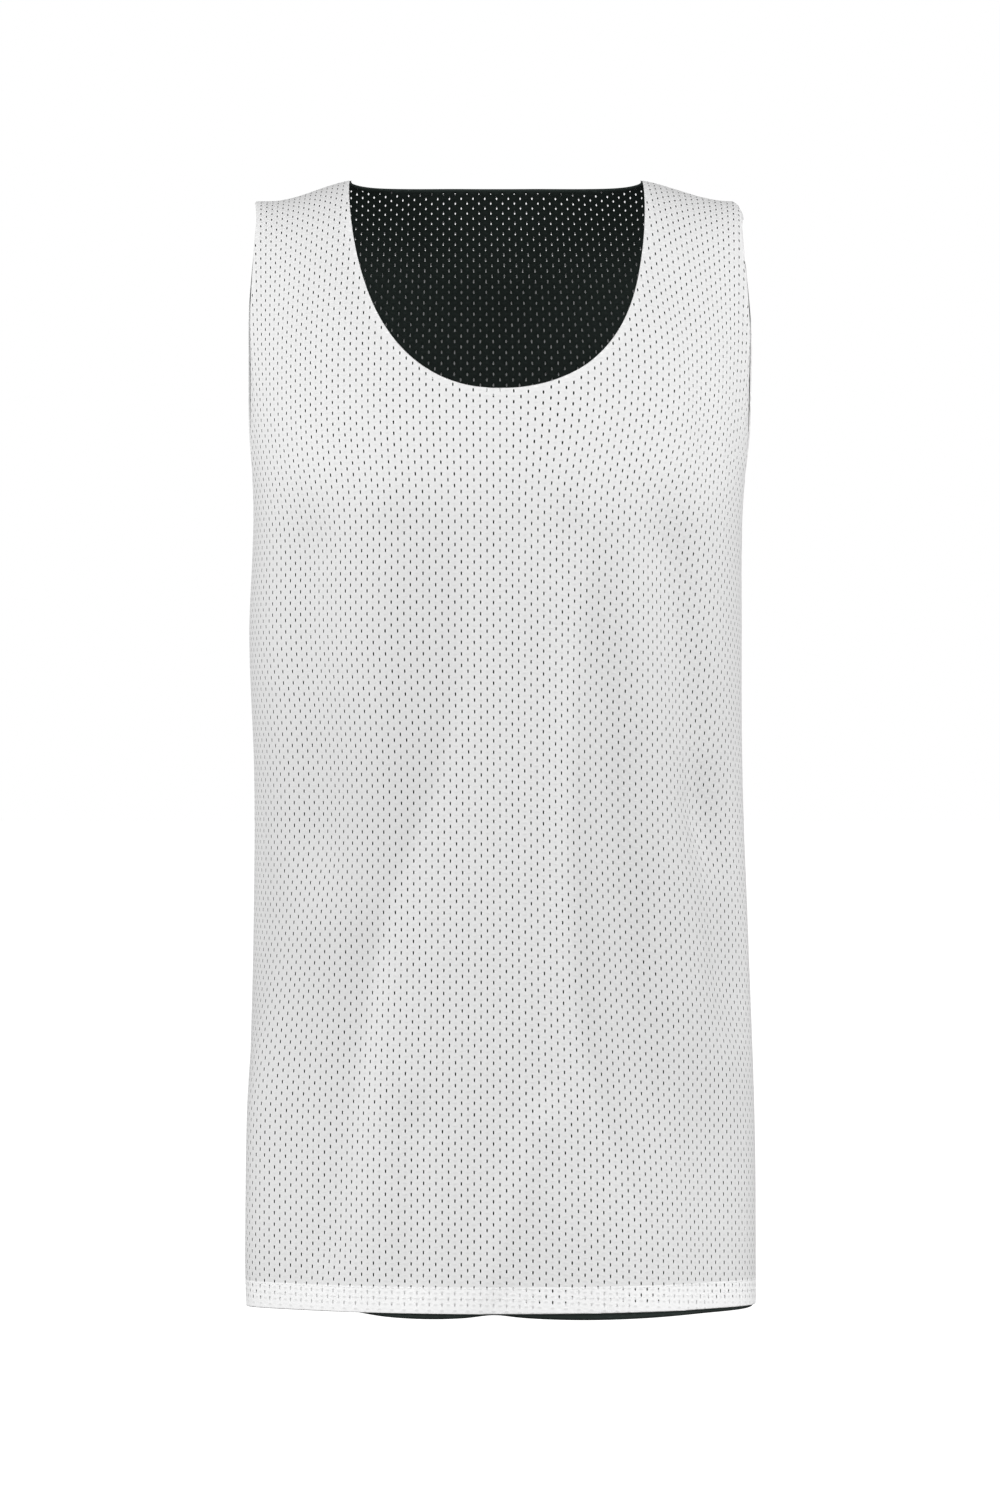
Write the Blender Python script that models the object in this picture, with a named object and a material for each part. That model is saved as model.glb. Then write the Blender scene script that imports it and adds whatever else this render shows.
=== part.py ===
"""Reversible basketball jersey: two plies of warp-knit mesh, each of a front and a back.

The four panels are worked out from their flat cut. A point of the cut is (u, v): u metres
from the centre line, v metres up from the hem. It is carried on to the hollow form that the
garment has when worn: level sections round the body, a chest and a back that lean towards
the shoulder line, and long soft folds. Metres, +Z up, the front faces -Y. The origin is
on the shoulder line, at the height of the underside of the straps, where the wearer
holds the garment up.
"""
import math

import bpy
import numpy as np

# The cut, in metres
HALF_WIDTH = 0.221          # centre line to side seam
UNDERARM_V = 0.467          # hem to underarm
NECK_HALF_WIDTH = 0.098     # centre line to the neck end of the shoulder seam
STRAP_WIDTH = 0.0665        # length of the shoulder seam
ARMHOLE_IN = 0.058          # how far the armhole cuts in from the side seam
ARMHOLE_CURVE = 0.233       # height over which it does so
ARMHOLE_ROUND = 2.0         # power of the curve's way in: an ellipse at the underarm
ARMHOLE_FLAT = 1.2          # power of its way up: straighter above that
ARMHOLE_END = 0.010         # the least straight end below the shoulder seam
SHOULDER_DROP = 0.006       # outer end of the shoulder seam below its neck end
HEM_RISE = 0.003            # the hem at the middle above the hem at the side seams
CORNER_RISE = 0.003         # its corners at the side seams are rounded up by this

# The worn form, in metres
HEM_Z = -0.688              # hem below the shoulder line
SIDE_Y = -0.045             # the side seams lie this far in front of the shoulder line
NECK_POINT = (0.0915, 0.0125)   # x and z of the neck end of the shoulder seam
SHOULDER_POINT = (0.1535, -0.0012)  # x and z of its outer end
SHOULDER_CURVE = (-0.15, 0.85)  # shares of the seam between which it slopes down
RIGHT_ROLL = 0.0114         # the right strap's outer corner rolls down by this
ROLL_WIDTH = 0.009          # over this width
NECK_SHIFT = -0.0025        # the top of the neck sits this far to one side
NECK_SHIFT_V = (0.570, 0.730)   # the shift grows between these heights
NECK_REACH = 0.160          # the neck's shift and pull die out at this u
CENTRE_U = 0.020            # a back neck's rise is whole within this u
LEAN_ACROSS = 0.15          # share of the lean after which the widths go over too
SEAM_CALM = 0.031           # folds die out over this distance from a side seam
HEM_BLEND = 0.050           # the hem's curve dies out this far up
SHORT_HEM = 0.0015          # the dark back hem hangs this much higher than the white one

# The plies, as depths under the garment's outer face
PLY = 0.0010                # thickness of one ply
PLY_GAP = 0.0004            # outer ply to inner ply
HEM_DEPTH = 0.016           # height of the turned hem
HEM_EXTRA = 0.0006          # thickness that the turned allowance adds inside the hem
SEAM_GAP = 0.0003           # between two panels at a seam

# The wall's grid, for half a panel
COLUMNS = 13
ROWS = 28
UNDERARM_ROW = 17
STRAIGHT_ARMHOLE = 0.2      # share of the upper rows on the armhole's straight end
TANGENT_STEP = 0.0005       # distance in the cut over which the form's tangents are taken
CURVE_POINTS = 721          # points on a section's quarter and on a lean's profile
SMOOTH_ANGLE = 40           # degrees: edges sharper than this stay sharp

WHITE = (0.80, 0.81, 0.82, 1.0)
DARK = (0.010, 0.016, 0.014, 1.0)
CLOTH_ROUGHNESS = 0.85

# Level sections: height up the cut, half width on the left and on the right, depth from
# the side line to the front and to the back, and how square the front and the back are,
# from 0, an ellipse, to 1.
SECTIONS = (
    (0.000, 0.1552, 0.1588, 0.123, 0.118, 0.40, 0.40),
    (0.104, 0.1558, 0.1582, 0.119, 0.116, 0.25, 0.25),
    (0.228, 0.1530, 0.1540, 0.118, 0.114, 0.05, 0.15),
    (0.327, 0.1525, 0.1505, 0.118, 0.114, 0.10, 0.20),
    (0.414, 0.1555, 0.1500, 0.118, 0.118, 0.35, 0.40),
    (0.488, 0.1535, 0.1510, 0.118, 0.123, 0.60, 0.75),
    (0.540, 0.1580, 0.1570, 0.118, 0.127, 0.60, 1.00),
    (0.600, 0.1600, 0.1600, 0.118, 0.128, 0.60, 1.00),
)
LEFT, RIGHT, FRONT_DEPTH, BACK_DEPTH, FRONT_SQUARE, BACK_SQUARE = 1, 2, 3, 4, 5, 6
ROUND_POWER = 2.0
FRONT_SQUARE_POWER = 2.7
BACK_SQUARE_POWER = 3.4
WIDTH_TO_DEPTH = 1.3        # of a section, for shares of its length

# How the cloth leans in towards the shoulder line: height up the cut, degrees from upright.
CHEST_LEAN = (
    (0.480, 0), (0.505, 10), (0.525, 17), (0.545, 21), (0.580, 25), (0.620, 28),
    (0.650, 31), (0.675, 37), (0.700, 52), (0.720, 68), (0.746, 90),
)
BACK_LEAN = (
    (0.480, 0), (0.540, 3), (0.600, 9), (0.640, 18), (0.670, 30), (0.695, 48), (0.722, 90),
)

# Folds: u and v of the top end, u and v of the bottom end, half width, height (out of the
# face, or a trough where it is negative), and the length over which each end fades.
FRONT_FOLDS = (
    (-0.126, 0.470, -0.126, 0.280, 0.024, -0.0070, 0.050),
    (-0.165, 0.150, -0.170, 0.000, 0.030, 0.0090, 0.100),
    (0.110, 0.470, 0.150, 0.300, 0.022, -0.0080, 0.050),
    (0.150, 0.300, 0.165, 0.190, 0.022, -0.0060, 0.050),
    (0.066, 0.390, 0.090, 0.130, 0.018, -0.0035, 0.060),
    (0.135, 0.120, 0.140, 0.000, 0.030, -0.0060, 0.080),
    (-0.070, 0.560, -0.066, 0.495, 0.012, 0.0020, 0.025),
    (0.046, 0.560, 0.046, 0.495, 0.012, 0.0020, 0.025),
    (0.104, 0.640, 0.135, 0.520, 0.012, -0.0025, 0.030),
    (-0.086, 0.220, -0.108, 0.040, 0.014, -0.0025, 0.030),
    (0.026, 0.120, -0.006, 0.020, 0.012, 0.0022, 0.025),
    (-0.053, 0.120, -0.056, 0.020, 0.012, -0.0020, 0.025),
    (-0.073, 0.440, -0.073, 0.060, 0.016, 0.0014, 0.050),
    (0.029, 0.440, 0.029, 0.060, 0.016, 0.0014, 0.050),
)
BACK_FOLDS = (
    (-0.120, 0.520, -0.132, 0.300, 0.024, -0.0070, 0.060),
    (-0.148, 0.260, -0.150, 0.000, 0.030, 0.0070, 0.090),
    (0.118, 0.540, 0.128, 0.250, 0.024, -0.0080, 0.060),
    (0.160, 0.200, 0.155, 0.000, 0.030, 0.0080, 0.090),
    (-0.052, 0.440, -0.068, 0.080, 0.022, 0.0040, 0.060),
    (0.055, 0.360, 0.040, 0.040, 0.020, -0.0040, 0.060),
    (0.008, 0.300, -0.012, 0.000, 0.022, 0.0035, 0.060),
    (-0.095, 0.640, -0.060, 0.560, 0.016, -0.0025, 0.030),
    (0.095, 0.630, 0.070, 0.550, 0.016, -0.0025, 0.030),
)

# The front neck is pulled to the right: height up the cut, distance at its left and right.
NECK_PULL = (
    (0.500, 0.0, 0.0), (0.560, -0.0010, 0.0054), (0.590, -0.0018, 0.0062),
    (0.650, -0.0015, 0.0037), (0.730, 0.0, 0.0),
)
PULL_LEFT, PULL_RIGHT = 1, 2
PULL_U = (0.0, 0.050)       # the pull grows between these distances from the centre line

FRONT = {
    "side": -1, "depth": FRONT_DEPTH, "folds": FRONT_FOLDS, "lean": CHEST_LEAN,
    "square": FRONT_SQUARE, "square_power": FRONT_SQUARE_POWER,
    "neck_v": 0.562, "neck_power": 2.25, "neck_row": 17,
    "centre_back_set": -0.054, "centre_rise": 0.0, "centre_reach": 0.0, "pull": 1.0,
}
BACK = {
    "side": 1, "depth": BACK_DEPTH, "folds": BACK_FOLDS, "lean": BACK_LEAN,
    "square": BACK_SQUARE, "square_power": BACK_SQUARE_POWER,
    "neck_v": 0.700, "neck_power": 3.0, "neck_row": 23,
    "centre_back_set": -0.038, "centre_rise": 0.013, "centre_reach": 0.016, "pull": 0.0,
}

# How far the dark ply's front hem hangs below the white one: u, drop.
HEM_PEEK = (
    (-0.221, -0.0015), (-0.100, -0.0015), (-0.072, 0.0022), (-0.020, 0.0024),
    (-0.004, 0.0006), (0.012, 0.0022), (0.140, 0.0026), (0.190, 0.0016), (0.221, 0.0006),
)


def smooth_step(x, low, high):
    """0 below low and 1 above high, with a smooth S between them."""
    t = np.clip((x - low) / (high - low), 0.0, 1.0)
    return t * t * (3.0 - 2.0 * t)


def read_table(x, rows, column):
    """A column of a table at x, on a smooth curve through its rows."""
    at = np.array([row[0] for row in rows])
    value = np.array([row[column] for row in rows])
    slope = np.gradient(value, at)
    x = np.clip(x, at[0], at[-1])
    i = np.clip(np.searchsorted(at, x) - 1, 0, len(at) - 2)
    step = at[i + 1] - at[i]
    t = (x - at[i]) / step
    rise = t * t * (3.0 - 2.0 * t)
    return (value[i] * (1.0 - rise) + value[i + 1] * rise
            + step * t * (1.0 - t) * (slope[i] * (1.0 - t) - slope[i + 1] * t))


def quarter_section(power):
    """A quarter of a superellipse: share of its length, and its x and y, each from 0 to 1."""
    angle = np.linspace(0.0, math.pi / 2, CURVE_POINTS)
    x = np.sin(angle) ** (2.0 / power)
    y = np.cos(angle) ** (2.0 / power)
    steps = np.hypot(np.diff(x) * WIDTH_TO_DEPTH, np.diff(y))
    length = np.concatenate(([0.0], np.cumsum(steps)))
    return length / length[-1], x, y


def lean_profile(rows):
    """Heights up the cut, with the share of the way in and of the way up reached at each."""
    v = np.linspace(rows[0][0], rows[-1][0], CURVE_POINTS)
    lean = np.radians(np.interp(v, [row[0] for row in rows], [row[1] for row in rows]))
    inward = np.cumsum(np.sin(lean))
    upward = np.cumsum(np.cos(lean))
    return v, (inward - inward[0]) / np.ptp(inward), (upward - upward[0]) / np.ptp(upward)


def along_shoulder(u):
    """Share of the way along the shoulder seam, from its neck end to its outer end."""
    return np.clip((np.abs(u) - NECK_HALF_WIDTH) / STRAP_WIDTH, 0.0, 1.1)


def towards_centre(u):
    """0 on the shoulder seam, rising to 1 near the centre line."""
    return 1.0 - smooth_step(np.abs(u), CENTRE_U, NECK_HALF_WIDTH)


def shoulder_v(panel, u):
    """Height up the cut of the shoulder seam, and of the line that carries it on inwards."""
    top = panel["lean"][-1][0]
    return top - SHOULDER_DROP * along_shoulder(u) + panel["centre_reach"] * towards_centre(u)


def hem_v(u):
    """Height of the hem, which rises a little at the middle and at its corners."""
    share = np.clip(np.abs(u) / HALF_WIDTH, 0.0, 1.0)
    return HEM_RISE * (1.0 - share ** 4) + CORNER_RISE * share ** 24


def neck_shift(panel, u, v):
    """How far the cloth round the neck is moved to the right."""
    near_neck = 1.0 - smooth_step(np.abs(u), NECK_HALF_WIDTH, NECK_REACH)
    pull = panel["pull"] * (read_table(v, NECK_PULL, PULL_LEFT) * smooth_step(-u, *PULL_U)
                            + read_table(v, NECK_PULL, PULL_RIGHT) * smooth_step(u, *PULL_U))
    return near_neck * (pull + NECK_SHIFT * smooth_step(v, *NECK_SHIFT_V))


def smooth_form(panel, u, v):
    """The garment's outer face without its folds."""
    side = panel["side"]
    across = np.abs(u)
    half = np.where(u < 0, read_table(v, SECTIONS, LEFT), read_table(v, SECTIONS, RIGHT))
    depth = read_table(v, SECTIONS, panel["depth"])
    square = read_table(v, SECTIONS, panel["square"])
    share = across / HALF_WIDTH
    x = 0.0
    y = 0.0
    for weight, power in ((1.0 - square, ROUND_POWER), (square, panel["square_power"])):
        shares, section_x, section_y = quarter_section(power)
        x = x + half * weight * np.interp(share, shares, section_x)
        y = y + depth * weight * np.interp(share, shares, section_y)
    past_side = np.maximum(across - HALF_WIDTH, 0.0)
    y = SIDE_Y + side * (y - past_side)

    start = panel["lean"][0][0]
    top = shoulder_v(panel, u)
    heights, inward, upward = lean_profile(panel["lean"])
    reached = np.clip((v - start) / (top - start), 0.0, 1.0)
    on_profile = start + reached * (heights[-1] - start)
    inwards = towards_centre(u)
    shoulder_y = panel["centre_back_set"] * inwards
    along = along_shoulder(u)
    shoulder_z = (NECK_POINT[1] + panel["centre_rise"] * inwards
                  + (SHOULDER_POINT[1] - NECK_POINT[1]) * smooth_step(along, *SHOULDER_CURVE))
    rolled = np.clip((u - NECK_HALF_WIDTH - STRAP_WIDTH) / ROLL_WIDTH + 1.0, 0.0, 1.1)
    shoulder_z = shoulder_z - RIGHT_ROLL * rolled ** 2
    shoulder_x = across * NECK_POINT[0] / NECK_HALF_WIDTH
    shoulder_x = np.where(across < NECK_HALF_WIDTH, shoulder_x,
                          NECK_POINT[0] + along * (SHOULDER_POINT[0] - NECK_POINT[0]))

    past_top = np.maximum(v - top, 0.0)
    y = y + (shoulder_y - y) * np.interp(on_profile, heights, inward)
    y = y + side * (SEAM_GAP / 2 - past_top)
    z = HEM_Z + np.minimum(v, start)
    z = z + (shoulder_z - z) * np.interp(on_profile, heights, upward)
    x = x + (shoulder_x - x) * smooth_step(reached, LEAN_ACROSS, 1.0)
    x = np.sign(u) * x + neck_shift(panel, u, v)
    return np.stack(np.broadcast_arrays(x, y, z), axis=-1)


def fold_height(panel, u, v):
    """Sum of the folds: each is a bell across its line, faded in and out along it."""
    height = np.zeros(np.broadcast(u, v).shape)
    for top_u, top_v, bottom_u, bottom_v, width, rise, fade in panel["folds"]:
        line_u = bottom_u + (top_u - bottom_u) * (v - bottom_v) / (top_v - bottom_v)
        shown = (smooth_step(v, bottom_v - fade, bottom_v + fade / 3)
                 * (1.0 - smooth_step(v, top_v - fade / 3, top_v + fade)))
        height = height + rise * shown * np.exp(-((u - line_u) / width) ** 2)
    near_side_seam = smooth_step(np.abs(u), HALF_WIDTH - SEAM_CALM, HALF_WIDTH)
    return height * (1.0 - near_side_seam)


def on_garment(panel, u, v, depth):
    """The point (u, v) of the cut on the garment, at a depth under its outer face."""
    step = TANGENT_STEP
    along_u = smooth_form(panel, u + step, v) - smooth_form(panel, u - step, v)
    along_v = smooth_form(panel, u, v + step) - smooth_form(panel, u, v - step)
    normal = np.cross(along_v, along_u) * panel["side"]
    normal /= np.linalg.norm(normal, axis=-1, keepdims=True)
    out = fold_height(panel, u, v) - depth
    return smooth_form(panel, u, v) + normal * out[..., None]


def centre_and_neck(panel, row):
    """The cut's inner edge: up the centre line, then round the neck to the shoulder seam."""
    straight = np.clip(row / panel["neck_row"], 0.0, 1.0)
    turn = np.clip((row - panel["neck_row"]) / (ROWS - panel["neck_row"]), 0.0, 1.0)
    turn = turn * math.pi / 2
    power = 2.0 / panel["neck_power"]
    top = panel["lean"][-1][0]
    u = NECK_HALF_WIDTH * np.sin(turn) ** power
    v = np.where(turn > 0, top - (top - panel["neck_v"]) * np.cos(turn) ** power,
                 HEM_RISE + straight * (panel["neck_v"] - HEM_RISE))
    return u, v


def side_and_armhole(panel, row):
    """The cut's outer edge: up the side seam, then round the armhole to the shoulder seam."""
    straight = np.clip(row / UNDERARM_ROW, 0.0, 1.0)
    rest = np.clip((row - UNDERARM_ROW) / (ROWS - UNDERARM_ROW), 0.0, 1.0)
    turn = np.clip(rest / (1.0 - STRAIGHT_ARMHOLE), 0.0, 1.0) * math.pi / 2
    end = np.clip((rest - 1.0) / STRAIGHT_ARMHOLE + 1.0, 0.0, 1.0)
    narrow = HALF_WIDTH - ARMHOLE_IN
    tip_u = NECK_HALF_WIDTH + STRAP_WIDTH
    tip_v = panel["lean"][-1][0] - SHOULDER_DROP
    curve_top = min(UNDERARM_V + ARMHOLE_CURVE, tip_v - ARMHOLE_END)
    inwards = np.sin(turn) ** (2.0 / ARMHOLE_ROUND)
    upwards = 1.0 - np.cos(turn) ** (2.0 / ARMHOLE_FLAT)
    u = HALF_WIDTH - ARMHOLE_IN * inwards + (tip_u - narrow) * end
    v = UNDERARM_V * straight + (curve_top - UNDERARM_V) * upwards
    v = v + (tip_v - curve_top) * end
    return u, v


def half_cut(panel, drop):
    """Grid of (u, v) over half a panel: straight lines from its inner to its outer edge."""
    row = np.arange(ROWS + 1)[:, None]
    s = np.arange(COLUMNS + 1)[None, :] / COLUMNS
    inner_u, inner_v = centre_and_neck(panel, row)
    outer_u, outer_v = side_and_armhole(panel, row)
    u = inner_u + (outer_u - inner_u) * s
    v = inner_v + (outer_v - inner_v) * s
    towards_hem = np.clip(1.0 - v / HEM_BLEND, 0.0, 1.0)
    return u, v + towards_hem * (hem_v(u) - HEM_RISE * (1.0 - s) - drop(u))


def grid_faces(flip):
    """Triangles of half a panel's grid, whose points are counted row by row."""
    low = np.arange(ROWS * (COLUMNS + 1)).reshape(ROWS, COLUMNS + 1)[:, :-1].reshape(-1)
    high = low + COLUMNS + 1
    faces = np.vstack((np.stack((low, low + 1, high + 1), -1),
                       np.stack((low, high + 1, high), -1)))
    return faces[:, ::-1] if flip else faces


def whole_cut(panel, drop):
    """Both halves of a panel welded on the centre line: its points and its triangles."""
    halves = []
    for mirror in (1.0, -1.0):
        u, v = half_cut(panel, lambda x: drop(mirror * x))
        halves.append(np.stack((mirror * u, v), -1).reshape(-1, 2))
    faces = np.vstack((grid_faces(False), grid_faces(True) + len(halves[0])))
    points = np.round(np.vstack(halves), 7) + 0.0
    points, first = np.unique(points, axis=0, return_inverse=True)
    return points, first.reshape(-1)[faces]


def open_edges(faces):
    """The edges that only one face uses, in that face's direction."""
    edges = np.vstack([faces[:, (i, (i + 1) % 3)] for i in range(3)])
    keys = np.sort(edges, axis=1)
    _, place, count = np.unique(keys, axis=0, return_inverse=True, return_counts=True)
    return edges[count[place.reshape(-1)] == 1]


def cloth_material(name, colour):
    material = bpy.data.materials.new(name)
    material.use_nodes = True
    shader = material.node_tree.nodes["Principled BSDF"]
    shader.inputs["Base Color"].default_value = colour
    shader.inputs["Roughness"].default_value = CLOTH_ROUGHNESS
    shader.inputs["Metallic"].default_value = 0.0
    return material


def add_panel(name, panel, outer_depth, inner_depth, drop, material):
    """A panel as a closed wall: its two faces, and a rim round its open edges."""
    cut, faces = whole_cut(panel, drop)
    u, v = cut[:, 0], cut[:, 1]
    outer = on_garment(panel, u, v, outer_depth(v))
    inner = on_garment(panel, u, v, inner_depth(v))
    if panel["side"] > 0:
        faces = faces[:, ::-1]
    rim = open_edges(faces)
    count = len(cut)
    rim_faces = np.stack((rim[:, 1], rim[:, 0], rim[:, 0] + count, rim[:, 1] + count), -1)
    all_faces = faces.tolist() + (faces[:, ::-1] + count).tolist() + rim_faces.tolist()
    mesh = bpy.data.meshes.new(name)
    mesh.from_pydata(np.vstack((outer, inner)).tolist(), [], all_faces)
    mesh.materials.append(material)
    mesh.shade_smooth()
    mesh.set_sharp_from_angle(angle=math.radians(SMOOTH_ANGLE))
    piece = bpy.data.objects.new(name, mesh)
    bpy.context.scene.collection.objects.link(piece)
    return piece


def in_hem(v):
    """1 inside the turned hem, 0 above it."""
    return 1.0 - smooth_step(v, HEM_DEPTH, 2.0 * HEM_DEPTH)


def outer_ply_face(v):
    return 0.0 * v


def outer_ply_back(v):
    return PLY + HEM_EXTRA * in_hem(v)


def inner_ply_face(v):
    return outer_ply_back(v) + PLY_GAP


def inner_ply_back(v):
    return inner_ply_face(v) + PLY + HEM_EXTRA * in_hem(v)


def level_hem(u):
    return 0.0 * u


def short_hem(u):
    return 0.0 * u - SHORT_HEM


def peeking_hem(u):
    return read_table(u, HEM_PEEK, 1)


def clear_scene():
    for item in list(bpy.data.objects):
        bpy.data.objects.remove(item, do_unlink=True)


def build_jersey():
    white = cloth_material("white_mesh", WHITE)
    dark = cloth_material("dark_mesh", DARK)
    outer = (outer_ply_face, outer_ply_back)
    inner = (inner_ply_face, inner_ply_back)
    add_panel("outer_front", FRONT, *outer, level_hem, white)
    add_panel("outer_back", BACK, *outer, level_hem, white)
    add_panel("inner_front", FRONT, *inner, peeking_hem, dark)
    add_panel("inner_back", BACK, *inner, short_hem, dark)


clear_scene()
build_jersey()
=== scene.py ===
"""Looks of a reversible basketball jersey: two plies of warp-knit mesh round a hollow body.

Each ply is worked out flat, as it is cut, in (u, v): u metres from the centre line, v metres
up from the hem. The knit's holes are punched in the flat ply, its borders are folded in, and
the whole is then carried on to the form that the garment has when worn.
"""
import math

import bpy
import numpy as np
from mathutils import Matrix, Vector


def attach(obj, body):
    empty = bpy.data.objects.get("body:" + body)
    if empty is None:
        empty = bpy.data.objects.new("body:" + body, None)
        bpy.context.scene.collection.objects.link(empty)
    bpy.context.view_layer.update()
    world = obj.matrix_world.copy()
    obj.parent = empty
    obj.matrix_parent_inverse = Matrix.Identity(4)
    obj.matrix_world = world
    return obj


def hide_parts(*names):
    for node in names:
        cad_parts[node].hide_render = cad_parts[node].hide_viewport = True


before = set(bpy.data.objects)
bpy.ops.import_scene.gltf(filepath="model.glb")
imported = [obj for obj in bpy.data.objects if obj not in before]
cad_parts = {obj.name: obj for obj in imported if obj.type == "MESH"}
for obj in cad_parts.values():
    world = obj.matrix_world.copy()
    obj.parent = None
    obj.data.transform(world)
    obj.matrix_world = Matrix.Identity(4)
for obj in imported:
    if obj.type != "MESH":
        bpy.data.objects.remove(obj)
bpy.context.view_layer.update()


# ---------------------------------------------------------------------------------------
# The cut. Front and back have one outline but for the neck, and the white and the dark ply
# are cut alike: straight side seams, a hollowed armhole, a short sloping shoulder seam and
# a round neck. The knit is cut on the straight grain, with its wales upright.
# ---------------------------------------------------------------------------------------
HALF_WIDTH = 0.221          # centre line to side seam
UNDERARM_V = 0.467          # hem to underarm
NECK_HALF_WIDTH = 0.098     # centre line to the neck end of the shoulder seam
STRAP_WIDTH = 0.0665        # length of the shoulder seam
ARMHOLE_IN = 0.058          # how far the armhole cuts in from the side seam
ARMHOLE_CURVE = 0.233       # height over which it does so
ARMHOLE_ROUND = 2.0         # power of the curve's way in: an ellipse at the underarm
ARMHOLE_FLAT = 1.2          # power of its way up: straighter above that
SHOULDER_DROP = 0.006       # outer end of the shoulder seam below its neck end
ARMHOLE_END = 0.010         # the least straight end below the shoulder seam
HEM_RISE = 0.003            # the hem at the middle above the hem at the side seams
HEM_POWER = 4               # power of the share of the half width by which it falls there
CORNER_RISE = 0.003         # its corners at the side seams are rounded up by this
CORNER_POWER = 24           # and this power keeps the rounding to the last 10 mm
LINE_POINTS = 49            # points on a curved border
RUN_ON = 1.1                # lines and shares run on to this multiple, past a seam

# Heights up the cut of the shoulder seam's neck end and of the neck's lowest point, and the
# power of the neck's curve.
FRONT_CUT = {"shoulder_v": 0.746, "neck_v": 0.562, "neck_power": 2.25}
BACK_CUT = {"shoulder_v": 0.722, "neck_v": 0.700, "neck_power": 3.0}


def hem_v(u, drop):
    """Height of the hem, which rises in the middle and at its corners.

    Both rises go by powers of the share of the half width, and the hem is lowered by drop, a
    function of u.
    """
    share = np.clip(np.abs(u) / HALF_WIDTH, 0.0, 1.0)
    rise = HEM_RISE * (1.0 - share ** HEM_POWER) + CORNER_RISE * share ** CORNER_POWER
    return rise - drop(u)


def hem_line(drop):
    """The hem as a line, from left to right and on past both side seams."""
    u = np.linspace(-RUN_ON * HALF_WIDTH, RUN_ON * HALF_WIDTH, 2 * LINE_POINTS - 1)
    return np.stack((u, hem_v(u, drop)), -1)


def armhole_line(panel):
    """The armhole of the right half: a quarter superellipse, then straight to the shoulder."""
    turn = np.linspace(0.0, math.pi / 2, LINE_POINTS)
    tip_v = panel["shoulder_v"] - SHOULDER_DROP
    curve_top = min(UNDERARM_V + ARMHOLE_CURVE, tip_v - ARMHOLE_END)
    u = HALF_WIDTH - ARMHOLE_IN * np.sin(turn) ** (2.0 / ARMHOLE_ROUND)
    v = UNDERARM_V + (curve_top - UNDERARM_V) * (1.0 - np.cos(turn) ** (2.0 / ARMHOLE_FLAT))
    tip = (NECK_HALF_WIDTH + STRAP_WIDTH, tip_v)
    return np.vstack((np.stack((u, v), -1), tip))


def neck_line(panel):
    """The neck of the right half: a quarter superellipse from the shoulder to the centre."""
    turn = np.linspace(math.pi / 2, 0.0, LINE_POINTS)
    power = 2.0 / panel["neck_power"]
    top = panel["shoulder_v"]
    return np.stack((NECK_HALF_WIDTH * np.sin(turn) ** power,
                     top - (top - panel["neck_v"]) * np.cos(turn) ** power), -1)


def borders(panel, drop):
    """Each border of the cut, as a line that has the cloth on its left."""
    top = panel["shoulder_v"]
    tip = (NECK_HALF_WIDTH + STRAP_WIDTH, top - SHOULDER_DROP)
    side = np.array(((HALF_WIDTH, 0.0), (HALF_WIDTH, UNDERARM_V)))
    shoulder = np.array((tip, (NECK_HALF_WIDTH, top)))
    return {"hem": hem_line(drop), "side": side, "armhole": armhole_line(panel),
            "shoulder": shoulder, "neck": neck_line(panel)}


def beside(line, points):
    """How far points lie on the left of a line, and the nearest place on it to each.

    Each point is dropped square on every stretch of the line, whose two end stretches run on
    for ever, and the nearest of these places counts. On the right the distance is negative.
    """
    closest = np.full(len(points), np.inf)
    away_x, away_y, side = np.zeros((3, len(points)))
    last = len(line) - 2
    for i, (start, end) in enumerate(zip(line[:-1], line[1:])):
        along_x, along_y = end - start
        x, y = points[:, 0] - start[0], points[:, 1] - start[1]
        share = (x * along_x + y * along_y) / (along_x ** 2 + along_y ** 2)
        share = np.clip(share, -np.inf if i == 0 else 0.0, np.inf if i == last else 1.0)
        x = x - share * along_x
        y = y - share * along_y
        square = x * x + y * y
        closer = square < closest
        closest[closer] = square[closer]
        away_x[closer], away_y[closer] = x[closer], y[closer]
        side[closer] = (along_x * y - along_y * x)[closer]
    foot = points - np.stack((away_x, away_y), -1)
    return np.sign(side) * np.sqrt(closest), foot


def beside_border(name, line, points):
    """The same for a border of the cut: all but the hem are mirrored on the centre line."""
    if name == "hem":
        return beside(line, points)
    mirror = np.where(points[:, :1] < 0, -1.0, 1.0) * (1.0, 0.0) + (0.0, 1.0)
    distance, foot = beside(line, points * mirror)
    return distance, foot * mirror


# ---------------------------------------------------------------------------------------
# The knit. Warp-knit polyester mesh has upright oval holes in staggered rows, four wales
# and four courses apart. A hole's cell is a brick with six corners, shared with its
# neighbours, and the hole is an octagon in it.
# ---------------------------------------------------------------------------------------
HOLE_ACROSS = 0.003896      # half the distance between two holes of one row
HOLE_UP = 0.003474          # from one row to the next
HOLE_HALF_WIDTH = 0.00047
HOLE_HALF_HEIGHT = 0.00112
OFF_GRAIN = 0.064           # the front's rows droop by this share of u on the right
DROOP_WIDTH = 0.020         # and turn from level over this width
MARGIN = 0.020              # the knit is laid out this much larger than the cut
# A cell has no hole this close to a border, so that the fold there is whole.
NO_HOLE = {"hem": 0.0038, "side": 0.0015, "armhole": 0.0015, "shoulder": 0.0015,
           "neck": 0.0015}

BRICK = ((1, 0), (0, 0), (-1, 0), (-1, -1), (0, -1), (1, -1))   # corners, half cells away
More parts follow.
